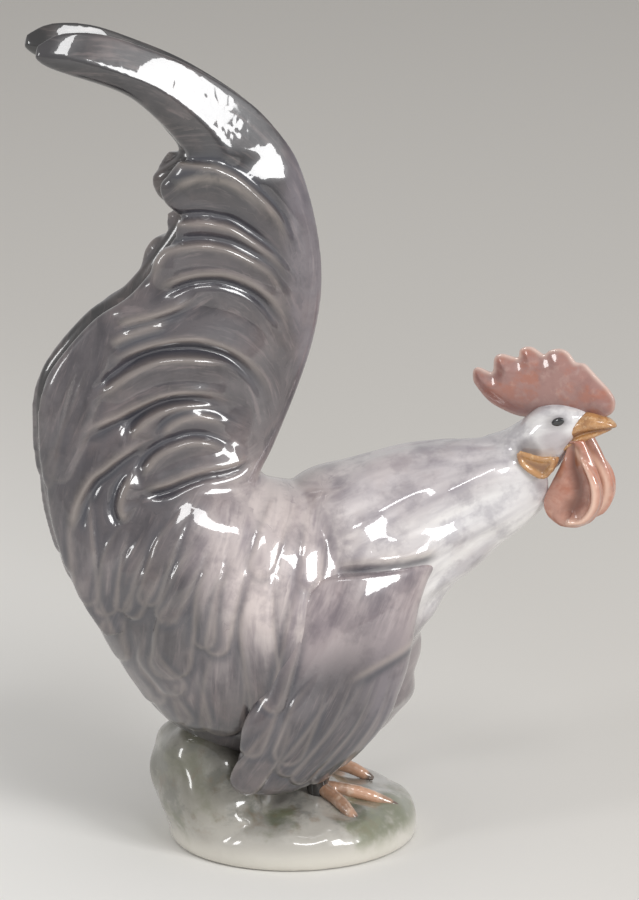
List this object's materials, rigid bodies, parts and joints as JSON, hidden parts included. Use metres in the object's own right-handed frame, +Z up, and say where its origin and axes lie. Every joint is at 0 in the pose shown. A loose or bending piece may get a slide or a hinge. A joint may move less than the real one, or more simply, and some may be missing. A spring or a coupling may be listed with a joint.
{
  "type": "rooster figurine",
  "caption": "Glazed porcelain rooster with a tall arched sickle tail and a turned head, standing on a low rocky base with a foot ring; a decorative figurine.",
  "frame": {"origin": "middle of the outline's box, on the plane the foot ring rests on", "axes": "+X from tail to head, +Z up; the head is turned toward -Y"},
  "size_m": [0.2022, 0.0874, 0.2911],
  "materials": {
    "glazed_porcelain": "gloss glaze over soft mauve-grey underglaze colours"
  },
  "bodies": {
    "root": {"rooster_figurine": "glazed_porcelain"}
  },
  "joints": []
}
